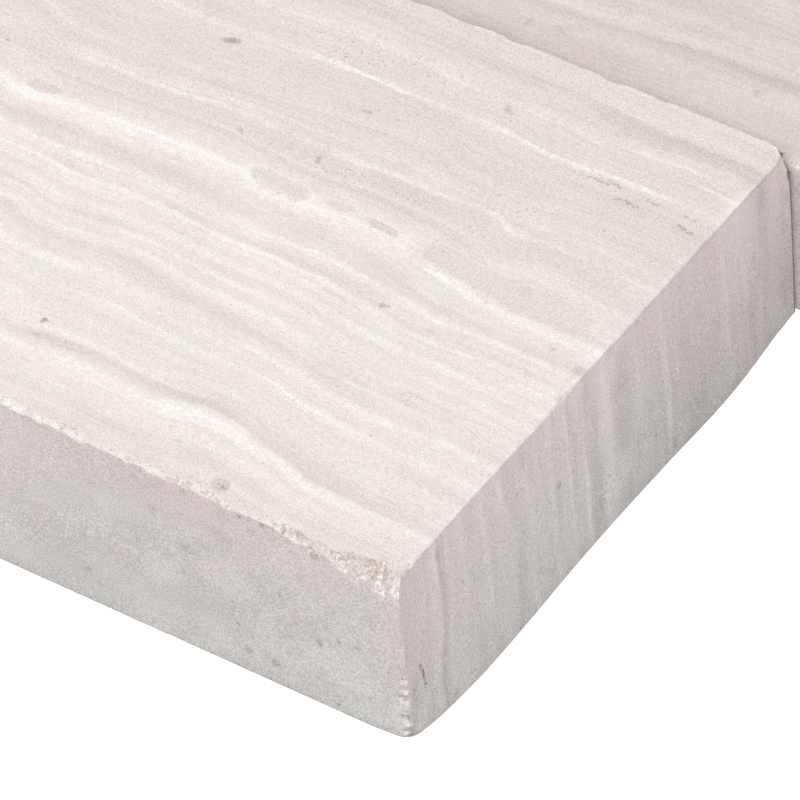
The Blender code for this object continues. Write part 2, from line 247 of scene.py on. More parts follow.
# Painted shade on the middle strip in the nook beside the top strip's end: place along, across, depth,
# radii along, across and in depth, tone
SECOND_NOOK_SHADE_SPOTS = (
    (-40.1, 0.4, 0, 1.2, 0.35, 0.6, -26), (-39.75, 0.25, 0, 0.5, 0.35, 0.5, -34),
    (-39.35, 0.2, 0.25, 0.45, 0.4, 0.5, -60), (-39.05, 0.1, 1.1, 0.36, 0.6, 0.7, -110),
)
# Small spots on the middle strip's face, listed like the top strip's
SECOND_SPOTS = (
    (-63.1, 4.1, 0.34, 0.6, -18), (-60.8, 4.5, 0.6, 0.28, -12), (-60.2, 4.1, 0.4, 0.24, -10),
    (-44.3, 5, 0.42, 0.26, -16), (-44.1, 4.7, 0.24, 0.24, -12), (-52, 7.2, 2.4, 0.45, 7),
    (-46, 8.6, 3, 0.4, 4),
)
# Rust stains: place along, across, depth, radius, strength
TOP_RUST = (
    (-0.5, 23.8, 0, 0.55, 0.3), (-8.3, 28.6, 0, 0.5, 0.12), (-2.2, 0.7, -0.5, 1, 0.13),
    (-3.9, 0.5, -0.7, 0.9, 0.07), (-8.3, 0.4, -0.1, 0.5, 0.07),
)
# Brown painted shade in the same nook, listed like the rust stains
SECOND_NOOK_BROWN_SHADE = ((-38.68, 0.1, -1.2, 0.4, 0.85),)

# Colours, scene-linear
TOP_GROUND = (0.826, 0.771, 0.729)
SECOND_GROUND = (0.684, 0.62, 0.578)
# Rust, and the brown of the painted shade in the middle strip's nook
RUST_AND_SHADE_COLOUR = (0.36, 0.22, 0.14, 1.0)
# What one tone adds to the colour, as a share of it
TONE_STEP = (0.0093, 0.0098, 0.0106)
# What is added to the colour: by the blotches of warmer and cooler stone, on the sawn faces, where
# the edges are broken, on the pinker faces, and for each millimetre of depth in the sawn faces
HUE_SHIFT = (0.01, -0.0035, 0.001)
SAWN_SHIFT = (0.004, -0.003, 0.016)
SECOND_SAWN_SHIFT = (0.0, 0.014, 0.04)
BROKEN_SHIFT = (0.002, 0.002, -0.01)
PINK_SHIFT = (0.004, -0.008, -0.003)
DEPTH_SHIFT = (0.002, -0.0012, -0.0014)
# The stone's gloss, and the bump of its grain, whose height is in metres
STONE_ROUGHNESS = 0.55
BUMP_STRENGTH = 0.3
BUMP_DISTANCE = 0.00005


def add_object(name, data):
    thing = bpy.data.objects.new(name, data)
    bpy.context.scene.collection.objects.link(thing)
    return thing


def strip_axes(node):
    return LONG_LEG_AXES if node.startswith("long_leg") else SHORT_LEG_AXES


def strip_place(node):
    """The world place of a strip's own zero, and its length, width and thickness."""
    low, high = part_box(node)
    if node == TOP_STRIP:
        low.x += END_BOW * MM
    size = (high - low) / MM
    if node.startswith("long_leg"):
        return Vector((low.x, low.y, high.z)), (size.x, size.z, size.y)
    return Vector((high.x, low.y, high.z)), (size.y, size.z, size.x)


# Meshes


def cuts(length, steps):
    """Places from 0 to a length. Steps are pairs of a place and the distance between cuts there."""
    where, how_far = zip(*steps)
    made = [0.0]
    while made[-1] < length:
        made.append(made[-1] + float(np.interp(made[-1], where, how_far)))
    return np.array(made) * (length / made[-1])


def face_number(axis, side):
    return axis * 2 + side


def edge_axis(faces):
    """The axis that the edge between two faces runs along."""
    return X + Y + Z - faces[0][0] - faces[1][0]


def box_surface(xs, ys, zs):
    """Points and quads of a box whose faces are cut at these places, and each quad's face."""
    shape = (len(xs), len(ys), len(zs))
    outer = np.zeros(shape, bool)
    outer[[0, -1]] = True
    outer[:, [0, -1]] = True
    outer[:, :, [0, -1]] = True
    number = np.full(shape, -1)
    number[outer] = np.arange(outer.sum())
    points = np.stack(np.meshgrid(xs, ys, zs, indexing="ij"), -1)[outer]
    quads = []
    faces = []
    for axis in range(3):
        for side in (LOW, HIGH):
            sheet = np.take(number, -side, axis)
            corners = (sheet[:-1, :-1], sheet[1:, :-1], sheet[1:, 1:], sheet[:-1, 1:])
            quad = np.stack(corners, -1).reshape(-1, 4)
            quads.append(quad[:, ::-1] if (side == LOW) != (axis == Y) else quad)
            faces.append(np.full(len(quad), face_number(axis, side)))
    return points, np.concatenate(quads), np.concatenate(faces)


def wander(along, spacing, seed):
    """A smooth random value from 0 to 1 at each place along an edge."""
    start = float(along.min())
    count = int((along.max() - start) / spacing) + 4
    knots = np.random.default_rng(seed).random(count)
    step = (along - start) / spacing
    index = step.astype(int)
    part = step - index
    part = part * part * (3 - 2 * part)
    return knots[index] * (1 - part) + knots[index + 1] * part


# Edges sharper than this, in degrees, show as sharp
SHARP_ANGLE = 28.0
# Frayed edges have long and short teeth, and every edge is cut back by a least reach
LONG_TOOTH = 0.75
SHORT_TOOTH = 0.28
LEAST_REACH = 0.02
# Broken faces crumble: crumbs a millimetre, coarse and fine, and what is added to their height. A
# break that reaches as far as FULL_CRUMBLE crumbles in full.
CRUMBS = (2.1, 4.7)
CRUMB_BIAS = 0.2
FULL_CRUMBLE = 0.8
# A break that reaches this far has its full colour, and the smallest has this share of it
FULL_BRUISE = 0.5
LEAST_BRUISE = 0.3


class Arris:
    """One edge of a strip: the two faces it joins, how far back it is worn, and its chips.

    wear lists a place along the edge, how far the wear reaches on the first face and on the
    second, if that differs. chips lists a place, half a length, and two reaches.
    """

    def __init__(self, faces, wear, fray=0.6, chips=(), round_off=False, rough=0.1):
        self.faces = faces
        self.along = edge_axis(faces)
        rows = wear if isinstance(wear, tuple) else ((0, wear),)
        self.wear = sorted((row[0], row[1], row[-1]) for row in rows)
        self.fray = fray
        self.chips = chips
        self.round_off = round_off
        self.rough = rough

    def reaches(self, along, seed):
        """How far back the edge is cut on each of its two faces, at each place along it."""
        places, *reaches = zip(*self.wear)
        found = []
        for face, reach in enumerate(reaches):
            teeth = wander(along, LONG_TOOTH, seed + face)
            teeth = teeth + wander(along, SHORT_TOOTH, seed + 10 + face) - 1
            reach = np.interp(along, places, reach) * (1 + self.fray * teeth)
            for place, half, *on_face in self.chips:
                scallop = np.clip(1 - ((along - place) / half) ** 2, 0, 1) ** 0.5
                reach = np.maximum(reach, on_face[face] * scallop)
            found.append(np.maximum(reach, LEAST_REACH))
        return found

    def cut(self, points, start, low, high, seed):
        """Cuts the edge back. Returns how deep in a break each point lies, from 0 to 1."""
        (axis_a, side_a), (axis_b, side_b) = self.faces
        in_a = points[:, axis_a] - low[axis_a] if side_a == LOW else high[axis_a] - points[:, axis_a]
        in_b = points[:, axis_b] - low[axis_b] if side_b == LOW else high[axis_b] - points[:, axis_b]
        reach_a, reach_b = self.reaches(start[:, self.along], seed)
        # A point on face a is reach_a from the edge at most, which is its depth under face b
        across_a = np.clip(1 - in_b / reach_a, 0, 1)
        across_b = np.clip(1 - in_a / reach_b, 0, 1)
        if self.round_off:
            out = np.hypot(across_a, across_b)
            inside = (out > 1) & (across_a > 0) & (across_b > 0)
            pull = np.where(inside, 1 - 1 / np.maximum(out, 1), 0)
            move_b = across_a * pull * reach_a
            move_a = across_b * pull * reach_b
            lack = pull
        else:
            lack = np.clip(1 - in_b / reach_a - in_a / reach_b, 0, 1)
            move_b = lack * reach_a / 2
            move_a = lack * reach_b / 2
        broken = np.flatnonzero(lack > 0)
        for index in broken:
            place = Vector(start[index])
            coarse, fine = (noise.noise(place * crumbs) for crumbs in CRUMBS)
            crumb = coarse * 0.5 + fine * 0.5
            deep = min(1.0, max(reach_a[index], reach_b[index]) / FULL_CRUMBLE) * self.rough
            move = max(0.0, crumb + CRUMB_BIAS) * deep * min(1.0, lack[index] * 3)
            move_a[index] += move
            move_b[index] += move
        points[broken, axis_a] += (1 if side_a == LOW else -1) * move_a[broken]
        points[broken, axis_b] += (1 if side_b == LOW else -1) * move_b[broken]
        size = np.clip(np.maximum(reach_a, reach_b) / FULL_BRUISE, LEAST_BRUISE, 1)
        return np.clip(lack * 5, 0, 1) * size


def strip_mesh(node, size, steps, arrises, seed, patches):
    """A cut box with its edges broken, whose quads carry the number of their patch."""
    length, width, thick = size
    xs = cuts(length, steps[X])[::-1] * -1
    ys = cuts(width, steps[Y])
    zs = cuts(thick, steps[Z])[::-1] * -1
    start, quads, faces = box_surface(xs, ys, zs)
    points = start.copy()
    low, high = start.min(0), start.max(0)
    bruise = np.zeros(len(points))
    for index, arris in enumerate(arrises):
        bruise = np.maximum(bruise, arris.cut(points, start, low, high, seed * 1000 + index * 30))
    if node == TOP_STRIP:
        bow_end(points, start, size)
        close_joint(points, start, size)
        lean_side(points, start, size)
    mesh = bpy.data.meshes.new(node + "_stone")
    mesh.from_pydata(points * MM, [], quads)
    layer = mesh.attributes.new("bruise", "FLOAT", "POINT")
    layer.data.foreach_set("value", bruise.astype(np.float32))
    slots = np.zeros(len(quads), np.int32)
    along = start[quads[:, 0], X]
    for slot, (patch_faces, first, last) in enumerate(patches):
        on_face = np.isin(faces, [face_number(*face) for face in patch_faces])
        slots[on_face & (along >= first) & (along < last)] = slot
    mesh.polygons.foreach_set("material_index", slots)
    mesh.shade_smooth()
    mesh.set_sharp_from_angle(angle=math.radians(SHARP_ANGLE))
    return mesh


# Edges of a plain strip, frayed along the honed face and crisper at the sawn ends: the edges, how
# far they are worn, the distance between chips, and the smallest and largest chip's reach
PLAIN_EDGES = (
    (((FACE, UPPER), (FACE, LOWER)), 0.2, 7.0, (0.3, 1.1)),
    (((BACK, UPPER), (BACK, LOWER)), 0.24, 10.0, (0.4, 2.0)),
    (((FACE, FAR), (FACE, END)), 0.14, 9.0, (0.2, 0.8)),
    (((BACK, FAR), (BACK, END)), 0.22, 9.0, (0.4, 1.6)),
    (((UPPER, FAR), (UPPER, END), (LOWER, FAR), (LOWER, END)), 0.22, 5.0, (0.3, 0.9)),
)
PLAIN_FRAY = 0.7
# A chip's half length and its reach on each face, as shares of its own reach
CHIP_HALF = (0.9, 2.2)
CHIP_REACH = (0.6, 1.0)


def random_chips(low, high, spacing, sizes, draw):
    chips = []
    for index in range(int((high - low) / spacing)):
        place = low + (index + draw.random()) * spacing
        reach = sizes[0] + (sizes[1] - sizes[0]) * draw.random() ** 3
        half = reach * draw.uniform(*CHIP_HALF)
        on_faces = [reach * draw.uniform(*CHIP_REACH) for _ in range(2)]
        chips.append((place, half, *on_faces))
    return chips


def strip_arrises(size, seed, own):
    """The plain edges of a strip, with its own edges in place of some of them."""
    length, width, thick = size
    draw = random.Random(seed)
    spans = {X: (-length, 0.0), Y: (0.0, width), Z: (-thick, 0.0)}
    named = {arris.faces: arris for arris in own}
    made = []
    for edges, wear, spacing, sizes in PLAIN_EDGES:
        for faces in edges:
            chips = random_chips(*spans[edge_axis(faces)], spacing, sizes, draw)
            made.append(named.get(faces, Arris(faces, wear, PLAIN_FRAY, chips)))
    return made


# The photographed end's arrises: a frayed upper edge worn down at the tip, crisp sawn edges, a
# rounded lower corner and a blunt back corner
FACE_UPPER_WEAR = (
    (-400, 0.22, 0.2), (-60, 0.45, 0.22), (-34.5, 0.55, 0.2), (-33, 0.6, 0.18), (-31, 0.34, 0.14),
    (-28, 0.36, 0.16), (-26, 0.18, 0.12), (-24, 0.42, 0.16), (-22, 0.4, 0.16), (-20.8, 0.55, 0.2),
    (-20, 0.45, 0.2), (-17, 0.36, 0.2), (-15.2, 0.34, 0.18), (-14, 0.18, 0.15), (-11.4, 0.22, 0.14),
    (-10.4, 0.45, 0.16), (-9, 0.5, 0.5), (-7.6, 0.42, 0.95), (-6.5, 0.36, 0.95), (-5.2, 0.6, 1.15),
    (-4.4, 0.72, 1.7), (-3.2, 0.85, 2.05), (-1.5, 1, 2.4), (-0.3, 0.8, 2.8), (0, 0.6, 2.9),
)
FACE_UPPER_CHIPS = (
    (-14.2, 0.5, 0.3, 0.38), (-16.4, 0.7, 0.4, 0.4), (-18.2, 0.4, 0.3, 0.42), (-19.6, 0.9, 0.3, 0.36),
    (-21, 0.5, 0.6, 0.45), (-23.2, 0.6, 0.5, 0.38), (-24.6, 0.3, 0.45, 0.3), (-25.4, 0.5, 0.35, 0.38),
    (-27.4, 0.9, 0.45, 0.4), (-29.2, 0.3, 0.5, 0.32), (-30.8, 0.4, 0.5, 0.42), (-32.8, 1.1, 0.7, 0.44),
    (-10.2, 0.3, 0.65, 0.25), (-8.9, 0.4, 0.7, 0.6), (-36.4, 0.7, 0.45, 0.35), (-41.5, 1, 0.4, 0.4),
    (-52, 0.8, 0.4, 0.5), (-66, 1.3, 0.5, 0.6), (-88, 1, 0.5, 0.5), (-104, 1.8, 0.7, 0.8),
    (-139, 1.5, 0.6, 0.7), (-190, 1.2, 0.5, 0.6), (-236, 1.6, 0.6, 0.7),
)
FACE_END_CHIPS = (
    (0.9, 0.35, 0.1, 0.3), (1.8, 0.4, 0.38, 0.3), (2.8, 0.3, 0.14, 0.2), (4, 0.35, 0.18, 0.2),
    (20.5, 0.5, 0.3, 0.55), (36.2, 0.7, 0.2, 0.2),
)
UPPER_END_WEAR = (
    (-16.4, 0.8), (-15.4, 0.45), (-14.4, 0.16), (-9, 0.1, 0.18), (-3, 0.07, 0.18), (0, 0.07, 0.18),
)
UPPER_END_CHIPS = (
    (-15.4, 0.3, 0.7, 0.4), (-14.1, 0.55, 0.8, 0.34), (-13.4, 0.25, 0.5, 0.24),
    (-12.05, 0.42, 0.95, 0.3), (-11.05, 0.32, 0.75, 0.24), (-10.1, 0.26, 0.6, 0.22),
    (-9.5, 0.2, 0.3, 0.19), (-8.1, 0.24, 0.22, 0.19), (-7.4, 0.2, 0.24, 0.18), (-6.9, 0.22, 0.28, 0.19),
    (-6.4, 0.2, 0.24, 0.18), (-5.2, 0.3, 0.16, 0.18),
)
FACE_LOWER_WEAR = ((-400, 0.1), (-4.5, 0.1), (-2.2, 0.22, 0.2), (0, 0.3))
FACE_LOWER_CHIPS = (
    (-28.4, 1.6, 0.3, 0.3), (-23.8, 1, 0.3, 0.3), (-15.2, 1.1, 0.36, 0.36), (-11, 0.8, 0.26, 0.26),
    (-18, 0.5, 0.2, 0.2), (-33, 1.4, 0.3, 0.3),
)
LOWER_END_WEAR = (
    (-17, 0.12), (-7, 0.12), (-4.6, 0.16), (-3.1, 0.24), (-2, 0.5), (-1.2, 1), (0, 1.9),
)
BACK_UPPER_WEAR = ((-400, 0.1), (-3.4, 0.12), (-1.4, 0.35), (0, 0.8))
BACK_END_WEAR = ((0, 0.8), (1.4, 0.32), (3.2, 0.1, 0.12), (51, 0.1, 0.12))
SECOND_FACE_UPPER_WEAR = ((-400, 0.1), (-40, 0.12), (-37.5, 1.2), (0, 1))
TOP_ARRISES = (
    Arris((FACE, UPPER), FACE_UPPER_WEAR, 0.75, FACE_UPPER_CHIPS, rough=0.09),
    Arris((FACE, LOWER), FACE_LOWER_WEAR, 0.9, FACE_LOWER_CHIPS),
    Arris((FACE, END), 0.09, 0.8, FACE_END_CHIPS),
    Arris((UPPER, END), UPPER_END_WEAR, 0.4, UPPER_END_CHIPS, rough=0.09),
    Arris((LOWER, END), LOWER_END_WEAR, 0.1, (), True, 0.03),
    Arris((BACK, UPPER), BACK_UPPER_WEAR, 0.4, (), True, 0.04),
    Arris((BACK, END), BACK_END_WEAR, 0.3, (), True, 0.04),
)
SECOND_ARRISES = (
    Arris((FACE, UPPER), SECOND_FACE_UPPER_WEAR, 0.3, (), True, 0.05),
    Arris((FACE, LOWER), 0.12, 0.8),
)


def bow_end(points, start, size):
    """Curves the sawn end outward towards the back."""
    places, reaches = zip(*END_BOW_LINE)
    steps = np.linspace(-END_BOW_SOFTNESS, END_BOW_SOFTNESS, END_BOW_STEPS)
    swell = sum(np.interp(start[:, Y] + step, places, reaches) for step in steps) / len(steps)
    down = -start[:, Z] / size[2]
    near_end = np.clip(1 + start[:, X] / END_BOW_REACH, 0, 1)
    points[:, X] += swell * down * near_end


def lean_side(points, start, size):
    """Moves the upper side in towards the face."""
    up = 1 + start[:, Z] / size[2]
    near_side = np.clip(1 - start[:, Y] / SIDE_LEAN_REACH, 0, 1)
    points[:, Y] += near_side * up * np.interp(start[:, X], *zip(*SIDE_LEAN))


def close_joint(points, start, size):
    """Lets the lower side reach into the joint under it, more so towards the back."""
    down = -start[:, Z] / size[2]
    near_side = np.clip(1 - (size[1] - start[:, Y]) / JOINT_REACH, 0, 1)
    points[:, Y] += near_side * np.interp(down, (0, 1), JOINT_FILL)


# Patches that share a material: their faces, and where they start and stop along the strip. The
# top strip has several, each with only the marks near it, because one material with all the marks
# renders too slowly.
PLAIN_PATCHES = (((FACE, BACK, UPPER, LOWER, END, FAR), -math.inf, math.inf),)
TOP_PATCHES = (
    ((FACE,), -math.inf, -36.0), ((FACE,), -36.0, -17.0), ((FACE,), -17.0, math.inf),
    ((UPPER,), -math.inf, -16.0), ((UPPER,), -16.0, math.inf),
    ((END,), -math.inf, math.inf), ((BACK, LOWER, FAR), -math.inf, math.inf),
)

# How finely a strip is cut along, across and in depth: a place and the distance between cuts
PLAIN_STEPS = (
    ((0, 0.3), (2, 0.3), (5, 0.8), (400, 0.8)),
    ((0, 0.25), (1.5, 0.3), (6, 2.4), (44, 2.4), (49, 0.3), (52, 0.25)),
    ((0, 0.25), (1.5, 0.3), (4, 1.4), (12, 1.4), (14.5, 0.3), (20, 0.25)),
)
TOP_STEPS = (
    ((0, 0.15), (6, 0.16), (10, 0.26), (40, 0.32), (60, 0.4), (70, 1.4), (400, 1.4)),
    ((0, 0.12), (1.5, 0.12), (7, 1.5), (44, 1.5), (48.5, 0.18), (52, 0.14)),
    ((0, 0.14), (2.4, 0.16), (4, 0.4), (8, 0.4), (9, 0.19), (20, 0.19)),
)


# Materials


class Wire:
    """A shader value that can be added and multiplied like a number."""

    def __init__(self, socket):
        self.socket = socket

    def math(self, operation, *others, clamp=False):
        node = self.socket.id_data.nodes.new("ShaderNodeMath")
        node.operation = operation
        node.use_clamp = clamp
        for socket, value in zip(node.inputs, (self, *others)):
            plug(value, socket)
        return Wire(node.outputs[0])

    def __add__(self, other):
        return self.math("ADD", other)

    def __sub__(self, other):
        return self.math("SUBTRACT", other)

    def __mul__(self, other):
        return self.math("MULTIPLY", other)

    def __abs__(self):
        return self.math("ABSOLUTE")

    def line(self, slope, level):
        return self * slope + level

    def blend(self, low, high):
        """Goes smoothly from low to high as this value goes from 0 to 1."""
        return self.ramp(0.0, 1.0, low, high)

    def ramp(self, low, high, to_low=0.0, to_high=1.0, smooth=True):
        """Goes from one value to another as this one goes from low to high.

        A smooth ramp stays there, a straight one goes on.
        """
        node = self.socket.id_data.nodes.new("ShaderNodeMapRange")
        node.interpolation_type = "SMOOTHSTEP" if smooth else "LINEAR"
        node.clamp = False
        for socket, value in zip(node.inputs, (self, low, high, to_low, to_high)):
            plug(value, socket)
        return Wire(node.outputs[0])


def plug(value, socket):
    if isinstance(value, Wire):
        socket.id_data.links.new(value.socket, socket)
    elif isinstance(value, bpy.types.NodeSocket):
        socket.id_data.links.new(value, socket)
    else:
        socket.default_value = value


def add_node(tree, kind, inputs=(), **settings):
    node = tree.nodes.new("ShaderNode" + kind)
    for name, value in settings.items():
        setattr(node, name, value)
    for key, value in dict(inputs).items():
        plug(value, node.inputs[key])
    return node


def vector_math(operation, *values):
    tree = values[0].id_data
    node = add_node(tree, "VectorMath", enumerate(values), operation=operation)
    return Wire(node.outputs["Value"]) if operation == "LENGTH" else node.outputs["Vector"]


def vector(x, y, z):
    return add_node(x.socket.id_data, "CombineXYZ", {0: x, 1: y, 2: z}).outputs[0]


def shifted(colour, amount, shift):
    """A colour with a shift added, times an amount."""
    return vector_math("MULTIPLY_ADD", vector(amount, amount, amount), shift, colour)


def grainy(place, stretch, offset, detail=1.0):
    """Noise from about -0.5 to 0.5, with this many wiggles a millimetre each way."""
    tree = place.id_data
    moved = vector_math("MULTIPLY_ADD", place, stretch, offset)
    inputs = {"Vector": moved, "Scale": 1.0, "Detail": detail}
    return Wire(add_node(tree, "TexNoise", inputs).outputs["Fac"]) - 0.5


def curve_through(value, points, span, reach):
    """A curve through points. Span and reach are what its two axes cover."""
    tree = value.socket.id_data
    node = add_node(tree, "FloatCurve", {"Value": value.ramp(*span, smooth=False)})
    node.mapping.extend = "HORIZONTAL"
    line = node.mapping.curves[0]
    spots = [((x - span[0]) / (span[1] - span[0]), (y - reach[0]) / (reach[1] - reach[0]))
             for x, y in points]
    line.points[0].location = spots[0]
    line.points[1].location = spots[-1]
    for spot in spots[1:-1]:
        line.points.new(*spot)
    node.mapping.update()
    return Wire(node.outputs[0]).ramp(0.0, 1.0, *reach, smooth=False)


def guided_bed(x, y):
    """The bed coordinate of the top strip: a bed's place across the end face, all along it."""
    paths = [(place, curve_through(x, offsets, GUIDE_SPAN, GUIDE_RANGE) + place)
             for place, offsets in GUIDES]
    total = None
    for (place, path), (next_place, next_path) in zip(paths, paths[1:]):
        rise = y.ramp(path, next_path, 0.0, next_place - place, smooth=False)
        rise = rise.math("MAXIMUM", 0.0).math("MINIMUM", next_place - place)
        total = total + rise if total else rise
    return total


# The beds' tones are drawn as this many curves, each over a part of the strip's width
BED_CURVES = 5
BED_CURVE_SPAN = 10.2
BED_CURVE_STEP = 0.2
BED_TONE_RANGE = (-20.0, 20.0)


def bed_profile(beds, place):
    """The summed tones of the beds at a place across them."""
    tone = 0.0
    for middle, half, strength in beds:
        part = min(1.0, max(0.0, 1.25 - abs(place - middle) / half))
        tone += strength * part * part * (3 - 2 * part)
    return tone


def bed_tones(bed, beds):
    """The same sum as curves over the bed coordinate."""
    total = None
    for piece in range(BED_CURVES):
        low = piece * BED_CURVE_SPAN
        high = low + BED_CURVE_SPAN
        places = np.linspace(low, high, int(BED_CURVE_SPAN / BED_CURVE_STEP) + 1)
        points = [(place, bed_profile(beds, place)) for place in places]
        tone = curve_through(bed, points, (low, high), BED_TONE_RANGE)
        if piece:
            tone = tone * bed.math("GREATER_THAN", low)
        if piece < BED_CURVES - 1:
            tone = tone * bed.math("LESS_THAN", high)
        total = total + tone if total else tone
    return total


def distance_to(place, middle, radii, half=0.0):
    """1 on the skin of a rounded lens around a middle, less inside it."""
    scale = [1 / radius for radius in radii]
    offset = [-spot * factor for spot, factor in zip(middle, scale)]
    away = vector_math("MULTIPLY_ADD", place, scale, offset)
    if half:
        away = vector_math("ABSOLUTE", away)
        away = vector_math("SUBTRACT", away, (half * scale[0], 0.0, 0.0))
        away = vector_math("MAXIMUM", away, (0.0, 0.0, 0.0))
    return vector_math("LENGTH", away)


# How far marks reach in from the face that they are on
LENS_DEPTH = 4.0
SPOT_DEPTH = 0.5
FLECK_DEPTH = 0.8
SIDE_SPOT_DEPTH = 0.7
END_SPOT_DEPTH = 1.4
# A mark reaches this many radii, and a face is worn down by this much at most
MARK_REACH = 1.8
DEEPEST_WEAR = 3.2
# A mark fades in between these two distances, in radii
DARK_FADE = (1.15, 0.8)
PALE_FADE = (1.5, 0.3)
SPOT_FADE = (1.3, 0.4)
FLECK_FADE = (1.2, 0.4)
RUST_AND_SHADE_FADE = (1.3, 0.3)
# The share of the beds' tone that shows around and under a dark lens, over a distance in radii
UNDER_LENS = (1.1, 0.9, 1.0, 0.45)
# Rims of lenses: how far out a pale and a dark one lies, and how wide it is, in radii
PALE_RIM = 1.3
DARK_RIM = 1.0
RIM_WIDTH = 0.3


def near_patch(middle, radii, half, patch, size):
    """Whether a mark shows on a patch of a strip, or where it is worn."""
    faces, first, last = patch
    reach = radii[X] * MARK_REACH + half + DEEPEST_WEAR
    if middle[X] + reach < first or middle[X] - reach > last:
        return False
    for axis, side in faces:
        low, high = (0.0, size[Y]) if axis == Y else (-size[axis], 0.0)
        away = middle[axis] - low if side == LOW else high - middle[axis]
        if away < radii[axis] * MARK_REACH + (half if axis == X else 0.0) + DEEPEST_WEAR:
            return True
    return False


def add_lenses(tone, laid, ragged, lenses):
    """Dark lenses have a clear edge and hide the beds they lie in. Pale ones fade out."""
    for middle, radii, half, (core, rim) in lenses:
        away = distance_to(laid, middle, radii, half) + ragged
        if core < 0:
            tone = tone * away.ramp(*UNDER_LENS)
        tone = tone + away.ramp(*(DARK_FADE if core < 0 else PALE_FADE), 0.0, core)
        if rim:
            off_rim = abs(away - (PALE_RIM if rim > 0 else DARK_RIM))
            tone = tone + off_rim.ramp(RIM_WIDTH, 0.0, 0.0, rim)
    return tone


def add_marks(value, place, marks, fade):
    """Adds each mark's strength: a mark is a middle, radii, half a straight part and a strength."""
    for middle, radii, half, strength in marks:
        value = value + distance_to(place, middle, radii, half).ramp(*fade, 0.0, strength)
    return value


# Noise: wiggles a millimetre along the strip, across it or its beds, and into it
SLOW_WAVES = (0.016, 0.035, 0.05)
DEEP_WAVES = (0.05, 0.12, 0.16)
WAVES = (0.1, 0.3, 0.2)
RIPPLES = (0.9, 1.3, 1.3)
GRAINS = (7.0, 7.0, 7.0)
COARSE_GRAINS = (2.6, 2.6, 2.6)
STREAKS = (0.16, 4.6, 0.3)
SWINGS = (0.09, 0.9, 0.2)
VEINS = (0.05, 2.6, 0.1)
BANDS = (0.04, 0.4, 0.08)
CLOUDS = (0.22, 0.35, 0.22)
CROWDS = (0.12, 0.25, 0.12)
PITS = (3.1, 3.1, 3.1)
HUES = (0.45, 0.6, 0.45)
SAWN_HUES = (0.13, 0.13, 0.16)
SEED_OFFSET = (17.3, 5.1, 9.7)
# How far noise moves the beds and the outlines of marks
SLOW_WAVE_HEIGHT = 9.0
WAVE_HEIGHT = 0.9
RIPPLE_HEIGHT = 0.55
RAGGEDNESS = 0.45
STREAK_SHAKE = 0.1
SHAKE = (0.4, 0.4, 0.4)
# How strong each thing is, in tones
VEIN_TONES = 14.0
STREAK_TONES = 12.0
BAND_TONES = 24.0
GUIDED_BAND_TONES = 10.0
CLOUD_TONES = 14.0
COARSE_GRAIN_TONES = 13.0
PIT_TONES = 24.0
BACK_EDGE_TONES = 9.0
BRUISE_TONES = 7.0
# Painted shade on the broken stone near the top strip's tip
WORN_EDGE_SHADE_TONES = 10.0
# Painted shade beside the joint on the middle strip's face, with dirt right in the gap
JOINT_SHADE_AND_DIRT_TONES = 12.0
# Values on the honed face, then on the sawn faces
BED_CONTRAST = (1.0, 1.2)
GRAIN_TONES = (64.0, 100.0)
HUE_AMOUNT = (2.4, 5.0)
SAWN_HUE_AMOUNT = 5.0
# Painted shade on the top strip's sawn faces, darker with depth: what each millimetre of depth takes,
# and the tone at the face
SAWN_DEPTH_SHADE = (0.45, 7.0)
END_DEPTH_SHADE = (1.0, 4.5)
FAR_END_DEPTH_SHADE = (0.95, 9.5)
# The contrast that beds lose on the end: what its far half adds, and the loss on its near half
END_CONTRAST_LOSS = (0.5, 0.1)
# What crowds the pits
BRUISE_CROWDING = 0.2
WORN_TIP_CROWDING = 0.05
FLECK_CROWDING = 0.22
# Ramps along, across, in depth or over noise: from, to, and the values there if not 0 and 1
SAWN_DEPTH = (-0.1, -0.5)
PAST_GUIDES = (-55.0, -85.0)
END_BACK = (-6.5, -14.5)
END_NEAR_SIDE = (6.0, 14.0, 1.0, 0.0)
END_REACH = (-4.0, -1.0)
SWING_RANGE = (-0.22, 0.22, 0.25, 1.5)
FROTH_RANGE = (-0.25, 0.25, 0.55, 1.45)
# Painted shade: the top strip's face darker towards its lower side
FAR_BED_SHADE = (20.0, 38.0, 2.0, -7.0)
END_START = (-0.8, -0.2)
END_SIDE = (0.1, 0.5)
FAR_HALF = (20.0, 42.0)
# Painted shade on the middle strip's face beside the joint: a wide band, and a narrow one of painted
# shade and dirt in the gap
JOINT_SHADE_WIDE = (0.9, 2.8, 1.0, 0.0)
JOINT_SHADE_AND_DIRT_NARROW = (0.2, 0.8, 1.0, 0.0)
# Painted shadow in the joint, on the top strip's lower side away from the face
JOINT_SHADOW_TONES = (50.55, 50.72, 0.0, 50.0)
JOINT_SHADOW_DEPTH = (-0.6, -1.6)
CROWDING_RANGE = (0.0, 0.25, 0.0, 0.08)
PIT_RANGE = (0.24, 0.34)
WORN_LENGTH = (-12.0, -8.0)
WORN_DEPTH = (-3.4, -2.6)
WORN_TIP_TONES = (-1.5, -0.5, 8.0, 2.0)
PINK_NEAR_SIDE = (2.6, 3.8, 1.0, 0.35)
PINK_DEPTH = (-4.0, -1.0)
# The back edge darkens, from the back face out
BACK_EDGE = (1.6, -0.1)
# Shares of the pinker colour
FAR_PINK = 0.9
SAWN_PINK = 0.8
WORN_TIP_PINK = 1.2
# The depth at which the sawn faces have their own colour, not shifted
MIDDLE_DEPTH = 7.0


